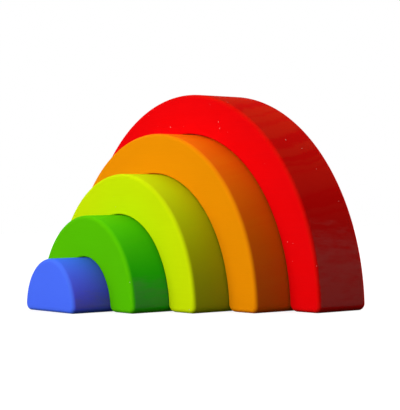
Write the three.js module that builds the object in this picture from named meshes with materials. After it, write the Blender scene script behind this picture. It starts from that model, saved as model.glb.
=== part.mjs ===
// Nesting rainbow puzzle: a half-round core under four arches, all sawn from one board, painted and
// standing on a table, each piece pushed forward out of the arch around it.
// Millimetres, +X to the right, +Y to the back, +Z up. The origin is on the table, in the middle of the set.
import * as THREE from 'three';

// Sizes of the set
const CORE_RADIUS = 22.6; // half-round block in the middle
const WALL = 18.95; // band of every arch, from its tunnel to its crown
const CLEARANCE = 0.4; // radial play between an arch and the piece that it covers
const DEPTH = 27.4; // thickness of the board
const STEP = 18.7; // how far each piece stands out of the arch around it
const SPRING_HEIGHT = 1.6; // height of the arcs' common centre over the table

// Sanded roundings
const FOOT_RADIUS = 3.2; // lower corners of the feet, seen from the front
const EDGE_RADIUS = 2; // from the faces to the outside and to the foot soles
const MOUTH_RADIUS = 0.6; // from the faces to the tunnel, where sanding reaches less

// Fineness of the facets
const CHORD_ERROR = 0.05; // widest gap between a facet and its true arc
const EDGE_FACETS = 3; // facets across a rounded edge
const SAME_POINT = 0.005; // points of an outline closer than this are one point

const QUARTER = Math.PI / 2;

// Paint of the pieces, from the core outwards
const PIECES = [
  { name: 'blue_core', colour: 0x4e6ff8 },
  { name: 'green_arch', colour: 0x5cbd04 },
  { name: 'lime_arch', colour: 0xc4e205 },
  { name: 'orange_arch', colour: 0xea8a05 },
  { name: 'red_arch', colour: 0xe6040c },
];
const PAINT_ROUGHNESS = 0.5;

// Points of one arc of an outline, each with the direction out of the solid and the radius that its edge
// is rounded to, which runs evenly from edges[0] to edges[1]. The arc goes round a hollow when side is -1.
function arc({ x, z, radius, from, to, edges, side = 1 }) {
  const facetAngle = 2 * Math.acos(1 - Math.min(CHORD_ERROR / radius, 1));
  const facets = Math.max(1, Math.ceil(Math.abs(to - from) / facetAngle));
  return Array.from({ length: facets + 1 }, (_, i) => {
    const angle = THREE.MathUtils.lerp(from, to, i / facets);
    const spoke = new THREE.Vector2(Math.cos(angle), Math.sin(angle));
    return {
      point: new THREE.Vector2(x, z).addScaledVector(spoke, radius),
      out: spoke.multiplyScalar(side),
      edge: THREE.MathUtils.lerp(edges[0], edges[1], i / facets),
    };
  });
}

// Outline of a half-round block in the XZ plane, anticlockwise seen from the front: the rounded right foot
// corner, the crown and the rounded left foot corner.
function crownOutline(radius) {
  const rise = Math.max(FOOT_RADIUS - SPRING_HEIGHT, 0);
  const x = Math.sqrt((radius - FOOT_RADIUS) ** 2 - rise ** 2);
  const tilt = Math.atan2(rise, x);
  const edges = [EDGE_RADIUS, EDGE_RADIUS];
  const corner = { z: FOOT_RADIUS, radius: FOOT_RADIUS, edges };
  return [
    ...arc({ ...corner, x, from: -QUARTER, to: tilt }),
    ...arc({ x: 0, z: SPRING_HEIGHT, radius, from: tilt, to: Math.PI - tilt, edges }),
    ...arc({ ...corner, x: -x, from: Math.PI - tilt, to: Math.PI + QUARTER }),
  ];
}

// Rest of an arch's outline, from the left foot over the tunnel to the right foot. The edge goes over
// from the foot's rounding to the crisper one of the tunnel's mouth along each corner.
function tunnelOutline(radius) {
  const rise = Math.max(FOOT_RADIUS - SPRING_HEIGHT, 0);
  const x = Math.sqrt((radius + FOOT_RADIUS) ** 2 - rise ** 2);
  const tilt = Math.atan2(rise, x);
  const vault = { x: 0, z: SPRING_HEIGHT, radius, edges: [MOUTH_RADIUS, MOUTH_RADIUS], side: -1 };
  const corner = { z: FOOT_RADIUS, radius: FOOT_RADIUS };
  const rising = [EDGE_RADIUS, MOUTH_RADIUS];
  const falling = [MOUTH_RADIUS, EDGE_RADIUS];
  return [
    ...arc({ ...corner, x: -x, from: -QUARTER, to: -tilt, edges: rising }),
    ...arc({ ...vault, from: Math.PI - tilt, to: tilt }),
    ...arc({ ...corner, x, from: Math.PI + tilt, to: Math.PI + QUARTER, edges: falling }),
  ];
}

// Drops each point that lies on the one before it, as where two arcs meet.
function withoutDoubles(outline) {
  const apart = (a, b) => a.point.distanceTo(b.point) > SAME_POINT;
  return outline.filter((here, i) => apart(here, outline.at(i - 1)));
}

// The outline at one stage of the edge rounding: turn 0 is the rim of the flat front face, and a quarter
// turn is the full outline behind the rounding.
function ring(outline, turn) {
  return outline.map(({ point, out, edge }) => {
    const inset = edge * (1 - Math.sin(turn));
    const setBack = edge * (1 - Math.cos(turn));
    return new THREE.Vector3(point.x - out.x * inset, setBack, point.y - out.y * inset);
  });
}

// Solid between a front and a back face of the same outline, with rounded edges. The front face is at y = 0.
function boardPiece(outline) {
  const turns = Array.from({ length: EDGE_FACETS + 1 }, (_, i) => QUARTER * i / EDGE_FACETS);
  const front = turns.map((turn) => ring(outline, turn));
  const back = front.map((points) => points.map((p) => new THREE.Vector3(p.x, DEPTH - p.y, p.z)));
  const rings = [...front, ...back.reverse()];
  const count = outline.length;
  const index = [];
  for (let r = 0; r + 1 < rings.length; r++) {
    for (let i = 0; i < count; i++) {
      const here = r * count + i;
      const next = r * count + (i + 1) % count;
      index.push(here, here + count, next, next, here + count, next + count);
    }
  }
  const rim = rings[0].map((p) => new THREE.Vector2(p.x, p.z));
  const lastRing = (rings.length - 1) * count;
  for (const [a, b, c] of THREE.ShapeUtils.triangulateShape(rim, [])) {
    index.push(a, b, c, lastRing + c, lastRing + b, lastRing + a);
  }
  const geometry = new THREE.BufferGeometry().setFromPoints(rings.flat());
  geometry.setIndex(index);
  geometry.computeVertexNormals();
  return geometry;
}

// One painted piece, counted from the core outwards.
function puzzlePiece({ name, colour }, place) {
  const radius = CORE_RADIUS + place * (CLEARANCE + WALL);
  const tunnel = place > 0 ? tunnelOutline(radius - WALL) : [];
  const outline = withoutDoubles([...crownOutline(radius), ...tunnel]);
  const paint = new THREE.MeshStandardMaterial({ color: colour, roughness: PAINT_ROUGHNESS, metalness: 0 });
  const mesh = new THREE.Mesh(boardPiece(outline), paint);
  mesh.name = name;
  return mesh;
}

// Each group holds one piece and the group of the pieces under it, one step further forward.
const nest = PIECES.map(puzzlePiece).reduce((inner, piece) => {
  const group = new THREE.Group().add(piece);
  if (inner) {
    inner.position.y = -STEP;
    group.add(inner);
  }
  return group;
}, null);
nest.position.y = ((PIECES.length - 1) * STEP - DEPTH) / 2;

const rainbow = new THREE.Group().add(nest);
rainbow.name = 'rainbow_puzzle';

export default rainbow;
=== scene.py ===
"""Painted look of a nesting wooden rainbow: five finely rounded, painted pieces over the solid frame."""

import math
from typing import NamedTuple

import bpy
from mathutils import Matrix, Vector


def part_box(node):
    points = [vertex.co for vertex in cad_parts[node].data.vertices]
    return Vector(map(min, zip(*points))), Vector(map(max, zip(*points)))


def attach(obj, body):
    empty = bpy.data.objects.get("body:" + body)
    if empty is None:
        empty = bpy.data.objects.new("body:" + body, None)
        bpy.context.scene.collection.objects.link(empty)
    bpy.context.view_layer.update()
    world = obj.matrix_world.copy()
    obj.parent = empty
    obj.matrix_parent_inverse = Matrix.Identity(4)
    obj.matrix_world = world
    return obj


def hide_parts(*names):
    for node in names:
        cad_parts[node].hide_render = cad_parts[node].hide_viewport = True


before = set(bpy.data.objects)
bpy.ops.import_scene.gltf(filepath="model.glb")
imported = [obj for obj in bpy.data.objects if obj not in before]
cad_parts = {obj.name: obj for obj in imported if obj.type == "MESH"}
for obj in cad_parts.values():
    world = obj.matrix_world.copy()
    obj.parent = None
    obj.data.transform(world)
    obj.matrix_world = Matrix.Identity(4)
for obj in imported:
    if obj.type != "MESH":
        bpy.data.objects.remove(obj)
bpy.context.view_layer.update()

bl_info = {
    "name": "Nesting Rainbow Painter",
    "version": (1, 0, 0),
    "blender": (4, 5, 0),
    "location": "View3D > Sidebar > Rainbow",
    "description": "Makes the painted pieces of a nesting wooden rainbow and the stage they stand on",
    "category": "Add Mesh",
}

MILLIMETRE = 0.001
QUARTER_TURN = math.pi / 2
DISPLAY_WHITE = 255

# Moving body, solid node and painted piece of each layer, from the core outwards
NEST = (
    ("blue", "blue_core", "blue_core_painted"),
    ("green", "green_arch", "green_arch_painted"),
    ("lime", "lime_arch", "lime_arch_painted"),
    ("orange", "orange_arch", "orange_arch_painted"),
    ("red", "red_arch", "red_arch_painted"),
)


class Clouds(NamedTuple):
    """A cloudy pattern: the size of its clouds along X, Y and Z, and how finely they break up."""

    span: tuple
    detail: float
    roughness: float = 0.5


# Wood under the paint, in millimetres: growth rings lie nearly level and the fibres run along X
RING_SLOPE = 0.2  # rise of the rings towards the back
RING_WOBBLE = 7.0  # how far the rings stray from their level
RING_CLOUDS = Clouds((60.0, 22.0, 10.0), detail=6.0, roughness=0.68)
RING_DETAIL = 3.0  # how much finer bands the rings hold
RING_FADE = (0.46, 0.62)  # from soft to dense wood
FIBRE_CLOUDS = Clouds((14.0, 0.5, 0.5), detail=4.0)
MOTTLE_CLOUDS = Clouds((26.0, 18.0, 18.0), detail=2.0)
PEEL_CLOUDS = Clouds((0.9, 0.9, 0.9), detail=2.0)
# Painted shade on the low sides, in a dull dark grey with a ragged edge
LOW_SHADE_CLOUDS = Clouds((20.0, 12.0, 3.0), detail=5.0, roughness=0.65)
LOW_SHADE_FADE = (0.85, 1.02)  # painted shade, from none to full, as a side turns to end grain
LOW_SHADE_RAGGED = 0.3  # how far the edge of the painted shade strays
CONTACT_SHADOW_HEIGHTS = (2.6, 0.3)  # painted contact shadow, from none to full, down to the table
DUST_SPACING = 4.5
DUST_RADIUS = 0.3  # of the largest speck

# How strongly each pattern shows in colour, roughness and relief
FACE_RING_SHARE = 0.15  # of the rings on the faces, against those on the sides
EDGE_HIGHLIGHT_TONE = 0.5  # how much paler the painted highlight makes the paint on a sanded edge
# Painted highlight on the rounded edges, at its strongest
EDGE_HIGHLIGHT_SHARE = 0.22
MOTTLE_SHARE = 0.03
FIBRE_SHARE = 0.03
DUST_TINT = (0.75, 0.62, 0.55)
DUST_COVER = 0.5
# Dull dark grey of the painted shade on the low sides
LOW_SHADE_TINT = (0.15, 0.13, 0.11)
# How dark the painted contact shadow makes the sides
CONTACT_SHADOW_DEPTH = 0.6
ROUGH_SPREAD = 0.12
EDGE_BURNISH = 0.06
FIBRE_RELIEF = 0.012
PEEL_RELIEF = 0.006
RING_RELIEF = 0.02

# Rules of the mesh
PIECE_RULE = "Sanded board piece"
EDGE_MARK = "sanded_edge"  # attribute that is 1 half way round an edge and 0 on the flats
ARCS_IN_HALF = 3.0  # two foot corners and the bow between them
EXTRA_ROWS = 3.0  # of an edge besides its steps: the rounding's start and a shoulder on each side
HALF_STEP = 0.5  # keeps whole numbers clear of rounding errors where they are compared or divided
WELD_DISTANCE = 0.001 * MILLIMETRE

# Stage, in metres, with the lamps' turn from the front to the right and their height in degrees
FLOOR_SPAN = 8.0
FLOOR_GREY = 0.3
FLOOR_GLOW = 0.85
LAMP_PLACES = {"front": (0, 5), "top": (180, 70), "back": (180, 5)}
LAMP_WIDTH = 50
BACKDROP_HEIGHT = 0.3  # top of the white that glossy paint mirrors, where 1 is straight up


def length(title, words, millimetres):
    """A size property in metres, given in millimetres."""
    return bpy.props.FloatProperty(
        name=title, description=words, default=millimetres * MILLIMETRE, min=0, precision=5, unit="LENGTH"
    )


def count(title, words, number):
    """A whole-number property for the fineness of a mesh."""
    return bpy.props.IntProperty(name=title, description=words, default=number, min=2)


def factor(title, words, share):
    """A plain share between nothing and all."""
    return bpy.props.FloatProperty(
        name=title, description=words, default=share, min=0, max=1, subtype="FACTOR"
    )


def shares(title, words, *values):
    """A plain share for each piece, from the core outwards."""
    return bpy.props.FloatVectorProperty(
        name=title, description=words, default=values, min=0, max=1, size=len(NEST)
    )


def light(title, words, level):
    """Brightness of a lamp, where 1 shows a colour as it is written on a surface that faces the lamp."""
    return bpy.props.FloatProperty(name=title, description=words, default=level, min=0, soft_max=2)


def angle(title, words, degrees):
    """A turn, given in degrees."""
    return bpy.props.FloatProperty(
        name=title, description=words, default=math.radians(degrees), subtype="ANGLE"
    )


def colour(title, words, red, green, blue):
    """A paint colour property, given as display values from 0 to 255."""
    return bpy.props.FloatVectorProperty(
        name=title, description=words, default=[display_to_light(v) for v in (red, green, blue)],
        min=0, max=1, size=3, subtype="COLOR"
    )


def display_to_light(value):
    """Linear light of one display value from 0 to 255, by the usual curve of displays."""
    share = value / DISPLAY_WHITE
    return share / 12.92 if share <= 0.04045 else ((share + 0.055) / 1.055) ** 2.4


class RainbowShape(bpy.types.PropertyGroup):
    """Sizes that the finished pieces share. Radii, depths and places come from the solid frame."""

    spring_height: length("Spring Height", "Height of the arcs' common centre over the table", 1.6)
    clearance: length("Clearance", "Radial play between an arch and the piece under it", 0.4)
    foot_radius: length("Foot Radius", "Rounding of the feet's lower corners, seen from the front", 3.2)
    edge_radius: length("Edge Radius", "Rounding from the faces to the outside", 2)
    mouth_radius: length("Mouth Radius", "Rounding from the faces to the tunnel", 0.6)
    shoulder: length("Shoulder", "Narrow flat strip on each side of a rounded edge", 0.5)
    arc_points: count("Arc Points", "Points along a crown or a tunnel", 128)
    corner_points: count("Corner Points", "Points along a foot corner", 10)
    edge_points: count("Edge Points", "Steps across a rounded edge", 8)


class RainbowPaint(bpy.types.PropertyGroup):
    """Colours of the paint, with its painted light and shade over the crown and on the end grain, and how
    much of the wood shows through it.
    """

    blue: colour("Blue", "Paint on the core's faces", 77, 114, 255)
    green: colour("Green", "Paint on the first arch's faces", 89, 196, 4)
    lime: colour("Lime", "Paint on the second arch's faces", 206, 231, 6)
    orange: colour("Orange", "Paint on the third arch's faces", 239, 145, 4)
    red: colour("Red", "Paint on the outermost arch's faces", 237, 6, 11)
    # Painted light and shade: each paint's tone over the crown and sides, lighter or darker than on the
    # faces as the light falls there
    blue_crown: colour("Blue Crown", "The core's paint over the top", 66, 119, 255)
    green_crown: colour("Green Crown", "The first arch's paint over the top", 95, 207, 4)
    lime_crown: colour("Lime Crown", "The second arch's paint over the top", 211, 235, 8)
    orange_crown: colour("Orange Crown", "The third arch's paint over the top", 255, 119, 8)
    red_crown: colour("Red Crown", "The outermost arch's paint over the top", 212, 31, 4)
    # Painted shade: each paint's darker tone where a side turns to end grain, facing along X
    blue_end: colour("Blue End Grain", "The core's paint where it soaked into end grain", 88, 84, 240)
    green_end: colour("Green End Grain", "The first arch's paint on end grain", 20, 169, 12)
    lime_end: colour("Lime End Grain", "The second arch's paint on end grain", 145, 155, 8)
    orange_end: colour("Orange End Grain", "The third arch's paint on end grain", 182, 84, 6)
    red_end: colour("Red End Grain", "The outermost arch's paint on end grain", 162, 5, 8)
    ring_spacing: length("Ring Spacing", "Distance between the wood's growth rings", 9)
    roughness: factor("Roughness", "Middle roughness of the dry paint", 0.5)
    gloss: factor("Gloss", "Specular level of the paint", 0.004)
    ring_depth: shares("Ring Depth", "How much the dense rings deepen each paint", 0.1, 0.1, 0.1, 0.1, 0.85)
    # Painted shade: how far each paint turns dull dark grey on the low sides
    low_shade_share: shares("Wear", "How far each paint has worn dull on low end grain", 0.3, 0.32, 0.03, 0.03, 0.2)
    dust: shares("Dust", "How much fine dust is caught in each paint", 0.1, 0.1, 0.1, 0.1, 0.8)


class RainbowStage(bpy.types.PropertyGroup):
    """Place of the camera and strength of the light."""

    camera_place: bpy.props.FloatVectorProperty(
        name="Camera Place", description="Where the camera stands", default=(0.49426, -0.31485, 0.03974),
        size=3, precision=5, subtype="TRANSLATION", unit="LENGTH"
    )
    heading: angle("Heading", "Turn of the view to the left, from straight to the back", 54.787)
    tilt: angle("Tilt", "Tilt of the view over the horizon", 0.778)
    roll: angle("Roll", "Turn of the camera about its own view", -0.979)
    lens: bpy.props.FloatProperty(
        name="Lens", description="Focal length for a 36 mm long side", default=107.62, min=1, unit="CAMERA"
    )
    sky_light: light("Sky Light", "Level of the even light from all round", 0.28)
    front_light: light("Front Light", "Level of the large lamp straight in front", 1.04)
    top_light: light("Top Light", "Level of the large lamp overhead, a little to the back", 0.54)
    back_light: light("Back Light", "Level of the large lamp behind", 0.35)


class Sketch:
    """Adds nodes to a tree and links them, so that a rule reads in the order in which it is worked out."""

    def __init__(self, tree):
        self.tree = tree

    def add(self, kind, inputs=(), **settings):
        """A node of one kind, with its settings and with values or links on its inputs."""
        node = self.tree.nodes.new(kind)
        for name, value in settings.items():
            setattr(node, name, value)
        for key, value in dict(inputs).items():
            self.feed(node.inputs[key], value)
        return node

    def feed(self, socket, value):
        """Links an output to an input, or sets the input's own value."""
        if isinstance(value, bpy.types.NodeSocket):
            self.tree.links.new(value, socket)
        else:
            socket.default_value = value

    def math(self, operation, *values, clamp=False):
        """The result of one math node."""
        node = self.add("ShaderNodeMath", enumerate(values), operation=operation, use_clamp=clamp)
        return node.outputs[0]

    def lerp(self, start, end, share):
        """The value at a share of the way from start to end."""
        return self.math("MULTIPLY_ADD", self.math("SUBTRACT", end, start), share, start)

    def mix(self, first, second, share):
        """A colour at a share of the way from the first to the second."""
        node = self.add("ShaderNodeMix", {"Factor": share}, data_type="RGBA")
        for socket, colour_in in zip([s for s in node.inputs if s.type == "RGBA"], (first, second)):
            self.feed(socket, (*colour_in, 1.0) if isinstance(colour_in, tuple) else colour_in)
        return next(s for s in node.outputs if s.type == "RGBA")

    def vector(self, x=0.0, y=0.0, z=0.0):
        """A vector from three parts."""
        return self.add("ShaderNodeCombineXYZ", enumerate((x, y, z))).outputs[0]

    def vector_math(self, operation, *values):
        """The vector result of one vector math node. A scale is given as the last value."""
        node = self.add("ShaderNodeVectorMath", operation=operation)
        sockets = [s for s in node.inputs if s.enabled]
        for socket, value in zip(sockets, values):
            self.feed(socket, value)
        return node.outputs[0]

    def choose(self, place, *values):
        """The value that stands at a place in a list."""
        node = self.add("GeometryNodeIndexSwitch", data_type="FLOAT")
        while len(node.index_switch_items) < len(values):
            node.index_switch_items.new()
        self.feed(node.inputs[0], place)
        for socket, value in zip(node.inputs[1:], values):
            self.feed(socket, value)
        return node.outputs[0]


def new_tree(name, inputs, outputs):
    """An empty geometry tree with named inputs and outputs, and its group input and output nodes."""
    tree = bpy.data.node_groups.new(name, "GeometryNodeTree")
    for title, kind in inputs:
        tree.interface.new_socket(title, in_out="INPUT", socket_type=kind)
    for title, kind in outputs:
        tree.interface.new_socket(title, in_out="OUTPUT", socket_type=kind)
    sketch = Sketch(tree)
    return sketch, sketch.add("NodeGroupInput").outputs, sketch.add("NodeGroupOutput").inputs


SHAPE_INPUTS = (
    ("Outer Radius", "NodeSocketFloat"),
    ("Tunnel Radius", "NodeSocketFloat"),
    ("Spring Height", "NodeSocketFloat"),
    ("Foot Radius", "NodeSocketFloat"),
    ("Edge Radius", "NodeSocketFloat"),
    ("Mouth Radius", "NodeSocketFloat"),
    ("Arc Points", "NodeSocketInt"),
    ("Corner Points", "NodeSocketInt"),
)


def corner_rule(sketch, radius, foot, spring, side):
    """Centre and tilt of the foot corner that meets an arc from inside (side 1) or outside (side -1)."""
    rise = sketch.math("MAXIMUM", sketch.math("SUBTRACT", foot, spring), 0.0)
    reach = sketch.math("MULTIPLY_ADD", foot, -side, radius)
    squares = sketch.math("SUBTRACT", sketch.math("POWER", reach, 2.0), sketch.math("POWER", rise, 2.0))
    x = sketch.math("SQRT", squares)
    return x, sketch.math("ARCTAN2", rise, x)


def outline_tree():
    """Rule of the outline: point, outward direction and edge radius for each place along it.

    The outline lies in XY and runs anticlockwise: right foot corner, crown, left foot corner and, on an
    arch, left tunnel corner, vault and right tunnel corner.
    """
    sketch, given, made = new_tree(
        "Half-round outline",
        (("Place", "NodeSocketInt"), *SHAPE_INPUTS),
        (("Point", "NodeSocketVector"), ("Outward", "NodeSocketVector"), ("Edge", "NodeSocketFloat")),
    )
    math_ = sketch.math
    foot, spring = given["Foot Radius"], given["Spring Height"]
    corner, bow = given["Corner Points"], given["Arc Points"]
    crown_x, crown_tilt = corner_rule(sketch, given["Outer Radius"], foot, spring, 1)
    vault_x, vault_tilt = corner_rule(sketch, given["Tunnel Radius"], foot, spring, -1)

    # Half and arc in which the place lies, and its share of the way along that arc
    run = math_("MULTIPLY_ADD", corner, 2.0, bow)
    half = math_("FLOOR", math_("DIVIDE", math_("ADD", given["Place"], HALF_STEP), run))
    here = math_("SUBTRACT", given["Place"], math_("MULTIPLY", half, run))
    past_first = math_("GREATER_THAN", here, math_("SUBTRACT", corner, HALF_STEP))
    bow_end = math_("ADD", corner, bow)
    past_bow = math_("GREATER_THAN", here, math_("SUBTRACT", bow_end, HALF_STEP))
    part = math_("ADD", past_first, past_bow)
    start = sketch.choose(part, 0.0, corner, bow_end)
    steps = sketch.choose(part, corner, bow, math_("SUBTRACT", corner, 1.0))
    share = math_("DIVIDE", math_("SUBTRACT", here, start), steps)
    arc = math_("MULTIPLY_ADD", half, ARCS_IN_HALF, part)

    # Centre, radius, angles and edge radii of the six arcs
    three_quarters = 3 * QUARTER_TURN
    crown_end = math_("SUBTRACT", math.pi, crown_tilt)
    vault_start = math_("SUBTRACT", math.pi, vault_tilt)
    centre_x = sketch.choose(
        arc, crown_x, 0.0, math_("MULTIPLY", crown_x, -1.0), math_("MULTIPLY", vault_x, -1.0), 0.0, vault_x
    )
    centre_y = sketch.choose(arc, foot, spring, foot, foot, spring, foot)
    radius = sketch.choose(arc, foot, given["Outer Radius"], foot, foot, given["Tunnel Radius"], foot)
    first = sketch.choose(
        arc, -QUARTER_TURN, crown_tilt, crown_end,
        -QUARTER_TURN, vault_start, math_("ADD", math.pi, vault_tilt)
    )
    last = sketch.choose(
        arc, crown_tilt, crown_end, three_quarters,
        math_("MULTIPLY", vault_tilt, -1.0), vault_tilt, three_quarters
    )
    side = sketch.choose(arc, 1.0, 1.0, 1.0, 1.0, -1.0, 1.0)
    edge, mouth = given["Edge Radius"], given["Mouth Radius"]
    edge_first = sketch.choose(arc, edge, edge, edge, edge, mouth, mouth)
    edge_last = sketch.choose(arc, edge, edge, edge, mouth, mouth, edge)

    turn = sketch.lerp(first, last, share)
    spoke = sketch.vector(math_("COSINE", turn), math_("SINE", turn))
    centre = sketch.vector(centre_x, centre_y)
    reach = sketch.vector_math("SCALE", spoke, radius)
    sketch.feed(made["Point"], sketch.vector_math("ADD", centre, reach))
    sketch.feed(made["Outward"], sketch.vector_math("SCALE", spoke, side))
    sketch.feed(made["Edge"], sketch.lerp(edge_first, edge_last, share))
    return sketch.tree


def board_piece_tree():
    """Rule of a whole piece: the outline carried round both rounded edges and closed by two flat faces.

    The piece is made lying on its back with its front up, and stood up at the end.
    """
    sketch, given, made = new_tree(
        PIECE_RULE,
        (
            *SHAPE_INPUTS,
            ("Halves", "NodeSocketInt"),
            ("Edge Points", "NodeSocketInt"),
            ("Shoulder", "NodeSocketFloat"),
            ("Depth", "NodeSocketFloat"),
            ("Front", "NodeSocketFloat"),
            ("Paint", "NodeSocketMaterial"),
        ),
        (("Geometry", "NodeSocketGeometry"),),
    )
    math_ = sketch.math
    outline = outline_tree()
    index = sketch.add("GeometryNodeInputIndex").outputs[0]

    def outline_at(place):
        """Outputs of the outline rule at one place."""
        node = sketch.add("GeometryNodeGroup", node_tree=outline)
        sketch.feed(node.inputs["Place"], place)
        for title, _ in SHAPE_INPUTS:
            sketch.feed(node.inputs[title], given[title])
        return node.outputs

    def inset_point(here, inset, height):
        """The outline's point moved into the piece by an inset, at one height."""
        inwards = sketch.vector_math("SCALE", here["Outward"], inset)
        point = sketch.vector_math("SUBTRACT", here["Point"], inwards)
        return sketch.vector_math("ADD", point, sketch.vector(z=height))

    run = math_("MULTIPLY_ADD", given["Corner Points"], 2.0, given["Arc Points"])
    places = math_("MULTIPLY", run, given["Halves"])
    steps = given["Edge Points"]
    rows = math_("MULTIPLY", math_("ADD", steps, EXTRA_ROWS), 2.0)

    # Band round the piece: rows run from a shoulder on the front face to one on the back face
    column = math_("FLOOR", math_("DIVIDE", math_("ADD", index, HALF_STEP), rows))
    row = math_("SUBTRACT", index, math_("MULTIPLY", column, rows))
    from_back = math_("SUBTRACT", math_("SUBTRACT", rows, 1.0), row)
    row_in = math_("MINIMUM", row, from_back)
    on_back = math_("GREATER_THAN", row, from_back)
    turn_share = math_("DIVIDE", math_("SUBTRACT", row_in, 1.0), steps, clamp=True)
    turn = math_("MULTIPLY", turn_share, QUARTER_TURN)
    on_face = math_("LESS_THAN", row_in, HALF_STEP)
    on_side = math_("GREATER_THAN", row_in, math_("ADD", steps, 1.0 + HALF_STEP))
    here = outline_at(math_("FLOORED_MODULO", column, places))
    inset = math_("MULTIPLY", here["Edge"], math_("SUBTRACT", 1.0, math_("SINE", turn)))
    inset = math_("MULTIPLY_ADD", on_face, given["Shoulder"], inset)
    set_back = math_("MULTIPLY", here["Edge"], math_("SUBTRACT", 1.0, math_("COSINE", turn)))
    set_back = math_("MULTIPLY_ADD", on_side, given["Shoulder"], set_back)
    depth = sketch.lerp(set_back, math_("SUBTRACT", given["Depth"], set_back), on_back)
    height = math_("MULTIPLY", depth, -1.0)
    grid = sketch.add("GeometryNodeMeshGrid", {
        "Vertices X": math_("ADD", places, 1.0), "Vertices Y": rows
    })
    band = sketch.add("GeometryNodeSetPosition", {
        "Geometry": grid.outputs["Mesh"], "Position": inset_point(here, inset, height)
    })
    marked = sketch.add("GeometryNodeStoreNamedAttribute", {
        "Geometry": band.outputs[0],
        "Name": EDGE_MARK,
        "Value": math_("SINE", math_("MULTIPLY", turn, 2.0)),
    }, data_type="FLOAT", domain="POINT")
    outward = sketch.add("GeometryNodeFlipFaces", {"Mesh": marked.outputs[0]})

    # Flat front face, and the same face turned over for the back
    disc = sketch.add("GeometryNodeMeshCircle", {"Vertices": places}, fill_type="NGON")
    rim = outline_at(index)
    rim_inset = math_("ADD", rim["Edge"], given["Shoulder"])
    front = sketch.add("GeometryNodeSetPosition", {
        "Geometry": disc.outputs[0], "Position": inset_point(rim, rim_inset, 0.0)
    })
    turned = sketch.add("GeometryNodeFlipFaces", {"Mesh": front.outputs[0]})
    back = sketch.add("GeometryNodeTransform", {
        "Geometry": turned.outputs[0],
        "Translation": sketch.vector(z=math_("MULTIPLY", given["Depth"], -1.0)),
    })

    # One closed shell, stood up in its place and painted
    shell = sketch.add("GeometryNodeJoinGeometry")
    for part in (outward, front, back):
        sketch.tree.links.new(part.outputs[0], shell.inputs[0])
    closed = sketch.add("GeometryNodeMergeByDistance", {
        "Geometry": shell.outputs[0], "Distance": WELD_DISTANCE
    })
    standing = sketch.add("GeometryNodeTransform", {
        "Geometry": closed.outputs[0],
        "Translation": sketch.vector(y=given["Front"]),
        "Rotation": (QUARTER_TURN, 0.0, 0.0),
    })
    smooth = sketch.add("GeometryNodeSetShadeSmooth", {"Geometry": standing.outputs[0]})
    real = sketch.add("GeometryNodeRealizeInstances", {"Geometry": smooth.outputs[0]})
    painted = sketch.add("GeometryNodeSetMaterial", {
        "Geometry": real.outputs[0], "Material": given["Paint"]
    })
    sketch.feed(made["Geometry"], painted.outputs[0])
    return sketch.tree


def paint_patterns(sketch, paint, dust_share):
    """Patterns of the painted board over its surface, and masks of its painted light and shade, each from 0
    to 1.
    """
    here = sketch.add("ShaderNodeTexCoord").outputs
    place = sketch.vector_math("SCALE", here["Object"], 1 / MILLIMETRE)
    across = sketch.add("ShaderNodeSeparateXYZ", {0: place}).outputs
    normal = sketch.add("ShaderNodeSeparateXYZ", {0: here["Normal"]}).outputs

    def noise(clouds):
        """A cloudy pattern, from 0 to 1."""
        scaled = sketch.vector_math("MULTIPLY", place, tuple(1 / size for size in clouds.span))
        node = sketch.add("ShaderNodeTexNoise", {
            "Vector": scaled, "Scale": 1.0, "Detail": clouds.detail, "Roughness": clouds.roughness
        })
        return node.outputs["Fac"]

    def stray(clouds, reach):
        """A cloudy value that strays to either side of 0, within half its reach."""
        return sketch.math("MULTIPLY", sketch.math("SUBTRACT", noise(clouds), 0.5), reach)

    def fade(value, span):
        """Smooth rise from 0 to 1 as a value goes from one end of a span to the other."""
        node = sketch.add("ShaderNodeMapRange", {
            "Value": value, "From Min": span[0], "From Max": span[1]
        }, interpolation_type="SMOOTHSTEP")
        return node.outputs[0]

    level = sketch.math("MULTIPLY_ADD", across["Y"], -RING_SLOPE, across["Z"])
    level = sketch.math("ADD", level, stray(RING_CLOUDS, RING_WOBBLE))
    ring = sketch.math("DIVIDE", level, paint.ring_spacing / MILLIMETRE)
    density = sketch.add("ShaderNodeTexNoise", {
        "W": ring, "Scale": 1.0, "Detail": RING_DETAIL
    }, noise_dimensions="1D").outputs["Fac"]

    cells = sketch.vector_math("SCALE", place, 1 / DUST_SPACING)
    dust = sketch.add("ShaderNodeTexVoronoi", {"Vector": cells, "Scale": 1.0}).outputs
    chance = sketch.add("ShaderNodeSeparateColor", {0: dust["Color"]}).outputs
    speck = sketch.math("MULTIPLY", chance["Red"], DUST_RADIUS / DUST_SPACING)
    near = sketch.math("LESS_THAN", dust["Distance"], speck)
    there = sketch.math("GREATER_THAN", chance["Green"], 1 - dust_share)

    # Mask of the painted shade on sides that face along X
    end_grain_shade = sketch.math("MULTIPLY", normal["X"], normal["X"])
    on_face = sketch.math("MULTIPLY", normal["Y"], normal["Y"])
    return {
        "side": sketch.math("SUBTRACT", 1.0, on_face),
        "end_grain_shade": end_grain_shade,
        "edge": sketch.add("ShaderNodeAttribute", attribute_name=EDGE_MARK).outputs["Fac"],
        "rings": fade(density, RING_FADE),
        "fibres": noise(FIBRE_CLOUDS),
        "mottle": noise(MOTTLE_CLOUDS),
        "peel": noise(PEEL_CLOUDS),
        # Painted shade on the low sides, with a ragged edge
        "low_shade": fade(sketch.math("ADD", end_grain_shade, stray(LOW_SHADE_CLOUDS, LOW_SHADE_RAGGED)), LOW_SHADE_FADE),
        # Painted contact shadow near the table
        "contact_shadow": fade(across["Z"], CONTACT_SHADOW_HEIGHTS),
        "dust": sketch.math("MULTIPLY", near, there),
    }


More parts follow.
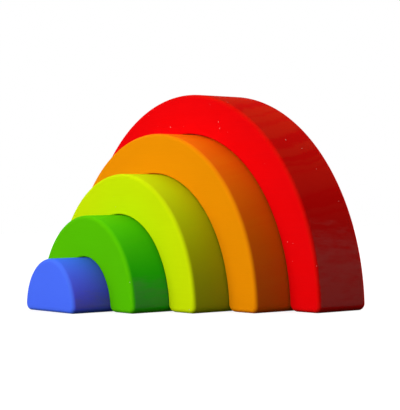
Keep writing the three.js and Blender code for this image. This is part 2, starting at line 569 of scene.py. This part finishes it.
def painted_wood(paint, body, layer):
    """Satin paint on wood, with a tone for the faces and painted light and shade over the crown and on the
    end grain.

    It is deeper on dense rings, with a painted highlight on sanded edges, painted shade in dull grey on the
    low sides and a painted contact shadow near the table.
    """
    material = bpy.data.materials.new(f"satin_{body}")
    material.use_nodes = True
    material.node_tree.nodes.clear()
    sketch = Sketch(material.node_tree)
    seen = paint_patterns(sketch, paint, paint.dust[layer])
    # Tone on the faces, and the painted light and shade over the crown and on the end grain
    hue, crown_shading, end_shade = (tuple(getattr(paint, body + part)) for part in ("", "_crown", "_end"))
    ring_depth = paint.ring_depth[layer]

    deep = tuple(part / max(hue) for part in hue)
    # Painted highlight: the paint's own hue made paler for the rounded edges
    edge_highlight = tuple(part + (1 - part) * EDGE_HIGHLIGHT_TONE * part for part in hue)
    # Painted light and shade on the sides: the crown's tone, turning to the darker end-grain tone as a side
    # faces along X
    side_shading = sketch.mix(crown_shading, end_shade, seen["end_grain_shade"])
    tint = sketch.mix(hue, side_shading, seen["side"])
    ring_share = sketch.lerp(FACE_RING_SHARE * ring_depth, ring_depth, seen["side"])
    ring_share = sketch.math("MULTIPLY", seen["rings"], ring_share)
    tint = sketch.mix(tint, sketch.vector_math("MULTIPLY", tint, deep), ring_share)
    # Painted shade: dull dark grey on the low sides
    tint = sketch.mix(tint, LOW_SHADE_TINT, sketch.math("MULTIPLY", seen["low_shade"], paint.low_shade_share[layer]))
    # Painted highlight along the rounded edges
    tint = sketch.mix(tint, edge_highlight, sketch.math("MULTIPLY", seen["edge"], EDGE_HIGHLIGHT_SHARE))
    clouds = sketch.math("MULTIPLY_ADD", seen["mottle"], 2 * MOTTLE_SHARE, 1 - MOTTLE_SHARE)
    streaks = sketch.math("MULTIPLY_ADD", seen["fibres"], 2 * FIBRE_SHARE, 1 - FIBRE_SHARE)
    tint = sketch.vector_math("SCALE", tint, sketch.math("MULTIPLY", clouds, streaks))
    # Painted contact shadow: the sides darker down by the table
    contact_shadow = sketch.math("MULTIPLY", seen["contact_shadow"], seen["side"])
    tint = sketch.vector_math("SCALE", tint, sketch.math("MULTIPLY_ADD", contact_shadow, -CONTACT_SHADOW_DEPTH, 1.0))
    tint = sketch.mix(tint, DUST_TINT, sketch.math("MULTIPLY", seen["dust"], DUST_COVER))

    rough = sketch.math("MULTIPLY_ADD", seen["mottle"], ROUGH_SPREAD, paint.roughness - ROUGH_SPREAD / 2)
    rough = sketch.math("MULTIPLY_ADD", seen["fibres"], ROUGH_SPREAD, rough)
    rough = sketch.math("MULTIPLY_ADD", seen["edge"], -EDGE_BURNISH, rough)

    relief = sketch.math("MULTIPLY", seen["fibres"], FIBRE_RELIEF)
    relief = sketch.math("MULTIPLY_ADD", seen["peel"], PEEL_RELIEF, relief)
    relief = sketch.math("MULTIPLY_ADD", ring_share, -RING_RELIEF, relief)
    bump = sketch.add("ShaderNodeBump", {"Height": relief, "Distance": MILLIMETRE})

    shader = sketch.add("ShaderNodeBsdfPrincipled", {
        "Base Color": tint, "Roughness": rough, "Normal": bump.outputs[0],
        "Specular IOR Level": paint.gloss, "Specular Tint": (*hue, 1.0)
    })
    sketch.add("ShaderNodeOutputMaterial", {"Surface": shader.outputs[0]})
    return material


def outer_radius(node):
    """Radius of a piece's crown, from the height of its solid."""
    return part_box(node)[1].z - bpy.context.scene.rainbow_shape.spring_height


def make_piece(layer, tunnel_radius):
    """One painted piece in the place of its solid, as a plain mesh. Layers count from the core outwards."""
    body, node, name = NEST[layer]
    shape = bpy.context.scene.rainbow_shape
    low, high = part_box(node)
    values = {
        "Outer Radius": outer_radius(node),
        "Tunnel Radius": tunnel_radius,
        "Spring Height": shape.spring_height,
        "Foot Radius": shape.foot_radius,
        "Edge Radius": shape.edge_radius,
        "Mouth Radius": shape.mouth_radius,
        "Arc Points": shape.arc_points,
        "Corner Points": shape.corner_points,
        "Halves": 2 if tunnel_radius else 1,
        "Edge Points": shape.edge_points,
        "Shoulder": shape.shoulder,
        "Depth": high.y - low.y,
        "Front": low.y,
        "Paint": painted_wood(bpy.context.scene.rainbow_paint, body, layer),
    }
    piece = bpy.data.objects.new(name, bpy.data.meshes.new(name))
    bpy.context.scene.collection.objects.link(piece)
    tree = bpy.data.node_groups.get(PIECE_RULE) or board_piece_tree()
    modifier = piece.modifiers.new(PIECE_RULE, "NODES")
    modifier.node_group = tree
    for socket in tree.interface.items_tree:
        if socket.in_out == "INPUT":
            modifier[socket.identifier] = values[socket.name]
    evaluated = piece.evaluated_get(bpy.context.evaluated_depsgraph_get())
    finished = bpy.data.meshes.new_from_object(evaluated)
    # The band and the faces start out with an empty material slot, which the paint comes after
    while finished.materials[0] is None:
        finished.materials.pop(index=0)
    piece.modifiers.remove(modifier)
    piece.data = finished
    finished.name = name
    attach(piece, body)
    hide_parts(node)


class RAINBOW_OT_core(bpy.types.Operator):
    """Make the painted half-round core"""

    bl_idname = "rainbow.core"
    bl_label = "Painted Core"

    def execute(self, context):
        make_piece(0, 0.0)
        return {"FINISHED"}


class RAINBOW_OT_arches(bpy.types.Operator):
    """Make the painted arches, each with a tunnel that clears the piece under it"""

    bl_idname = "rainbow.arches"
    bl_label = "Painted Arches"

    def execute(self, context):
        clearance = context.scene.rainbow_shape.clearance
        for layer in range(1, len(NEST)):
            _, under, _ = NEST[layer - 1]
            make_piece(layer, outer_radius(under) + clearance)
        return {"FINISHED"}


def seen_directly(sketch):
    """One for rays from the camera, and for those that a mirror or glass sends on."""
    path = sketch.add("ShaderNodeLightPath").outputs
    seen = sketch.math("ADD", path["Is Camera Ray"], path["Is Glossy Ray"])
    return sketch.math("ADD", seen, path["Is Transmission Ray"], clamp=True)


def white_sky(level):
    """World that lights the pieces evenly at one level, looks white and mirrors a low white backdrop."""
    world = bpy.data.worlds.new("Studio")
    world.use_nodes = True
    world.node_tree.nodes.clear()
    sketch = Sketch(world.node_tree)
    direction = sketch.add("ShaderNodeTexCoord").outputs["Generated"]
    height = sketch.add("ShaderNodeSeparateXYZ", {0: direction}).outputs["Z"]
    backdrop = sketch.add("ShaderNodeMapRange", {
        "Value": height, "From Max": BACKDROP_HEIGHT, "To Min": 1.0, "To Max": level
    }, interpolation_type="SMOOTHSTEP").outputs[0]
    path = sketch.add("ShaderNodeLightPath").outputs
    through = sketch.math("ADD", path["Is Camera Ray"], path["Is Transmission Ray"], clamp=True)
    strength = sketch.lerp(level, backdrop, path["Is Glossy Ray"])
    strength = sketch.lerp(strength, 1.0, through)
    sky = sketch.add("ShaderNodeBackground", {"Color": (1, 1, 1, 1), "Strength": strength})
    sketch.add("ShaderNodeOutputWorld", {"Surface": sky.outputs[0]})
    bpy.context.scene.world = world


def pale_floor():
    """Floor that looks white in the light and keeps the pieces' soft shadow."""
    half = FLOOR_SPAN / 2
    mesh = bpy.data.meshes.new("studio_floor")
    corners = [(-half, -half, 0), (half, -half, 0), (half, half, 0), (-half, half, 0)]
    mesh.from_pydata(corners, [], [(0, 1, 2, 3)])
    floor = bpy.data.objects.new("studio_floor", mesh)
    bpy.context.scene.collection.objects.link(floor)
    material = bpy.data.materials.new("pale_floor")
    material.use_nodes = True
    material.node_tree.nodes.clear()
    sketch = Sketch(material.node_tree)
    matt = sketch.add("ShaderNodeBsdfDiffuse", {"Color": (FLOOR_GREY, FLOOR_GREY, FLOOR_GREY, 1)})
    brightness = sketch.math("MULTIPLY", seen_directly(sketch), FLOOR_GLOW)
    glow = sketch.add("ShaderNodeEmission", {"Strength": brightness})
    both = sketch.add("ShaderNodeAddShader", {0: matt.outputs[0], 1: glow.outputs[0]})
    sketch.add("ShaderNodeOutputMaterial", {"Surface": both.outputs[0]})
    mesh.materials.append(material)


def soft_lamp(name, level):
    """Wide distant lamp that stands at its place in the list of lamps."""
    turn, height = LAMP_PLACES[name]
    lamp = bpy.data.lights.new(f"{name}_lamp", "SUN")
    lamp.energy = math.pi * level
    lamp.angle = math.radians(LAMP_WIDTH)
    stand = bpy.data.objects.new(f"{name}_lamp", lamp)
    stand.rotation_euler = (QUARTER_TURN - math.radians(height), 0, math.radians(turn))
    bpy.context.scene.collection.objects.link(stand)


def fitted_camera(stage):
    """Camera at the stage's place, turned by its heading, tilt and roll."""
    camera = bpy.data.objects.new("camera", bpy.data.cameras.new("camera"))
    camera.data.lens = stage.lens
    turn = Matrix.Rotation(stage.heading, 4, "Z")
    lift = Matrix.Rotation(QUARTER_TURN + stage.tilt, 4, "X")
    roll = Matrix.Rotation(stage.roll, 4, "Z")
    camera.matrix_world = Matrix.Translation(stage.camera_place) @ turn @ lift @ roll
    bpy.context.scene.collection.objects.link(camera)
    bpy.context.scene.camera = camera


class RAINBOW_OT_stage(bpy.types.Operator):
    """Make the pale floor, the soft light and the camera"""

    bl_idname = "rainbow.stage"
    bl_label = "Stage"

    def execute(self, context):
        stage = context.scene.rainbow_stage
        context.scene.view_settings.view_transform = "Standard"
        white_sky(stage.sky_light)
        pale_floor()
        soft_lamp("front", stage.front_light)
        soft_lamp("top", stage.top_light)
        soft_lamp("back", stage.back_light)
        fitted_camera(stage)
        return {"FINISHED"}


class RAINBOW_PT_sidebar(bpy.types.Panel):
    """Sizes, colours and buttons of the nesting rainbow"""

    bl_idname = "RAINBOW_PT_sidebar"
    bl_label = "Nesting Rainbow"
    bl_space_type = "VIEW_3D"
    bl_region_type = "UI"
    bl_category = "Rainbow"

    def draw(self, context):
        scene = context.scene
        for group in (scene.rainbow_shape, scene.rainbow_paint, scene.rainbow_stage):
            box = self.layout.box()
            for name in group.bl_rna.properties.keys():
                if name not in ("rna_type", "name"):
                    box.prop(group, name)
        for operator in OPERATORS:
            self.layout.operator(operator.bl_idname)


OPERATORS = (RAINBOW_OT_core, RAINBOW_OT_arches, RAINBOW_OT_stage)
CLASSES = (RainbowShape, RainbowPaint, RainbowStage, *OPERATORS, RAINBOW_PT_sidebar)


def register():
    """Registers the classes and gives the scene its properties."""
    for part in CLASSES:
        bpy.utils.register_class(part)
    bpy.types.Scene.rainbow_shape = bpy.props.PointerProperty(type=RainbowShape)
    bpy.types.Scene.rainbow_paint = bpy.props.PointerProperty(type=RainbowPaint)
    bpy.types.Scene.rainbow_stage = bpy.props.PointerProperty(type=RainbowStage)


def unregister():
    """Takes the properties and the classes away again."""
    del bpy.types.Scene.rainbow_shape
    del bpy.types.Scene.rainbow_paint
    del bpy.types.Scene.rainbow_stage
    for part in reversed(CLASSES):
        bpy.utils.unregister_class(part)


def main():
    """Makes every piece and the stage."""
    register()
    bpy.ops.rainbow.core()
    bpy.ops.rainbow.arches()
    bpy.ops.rainbow.stage()


if __name__ == "__main__":
    main()
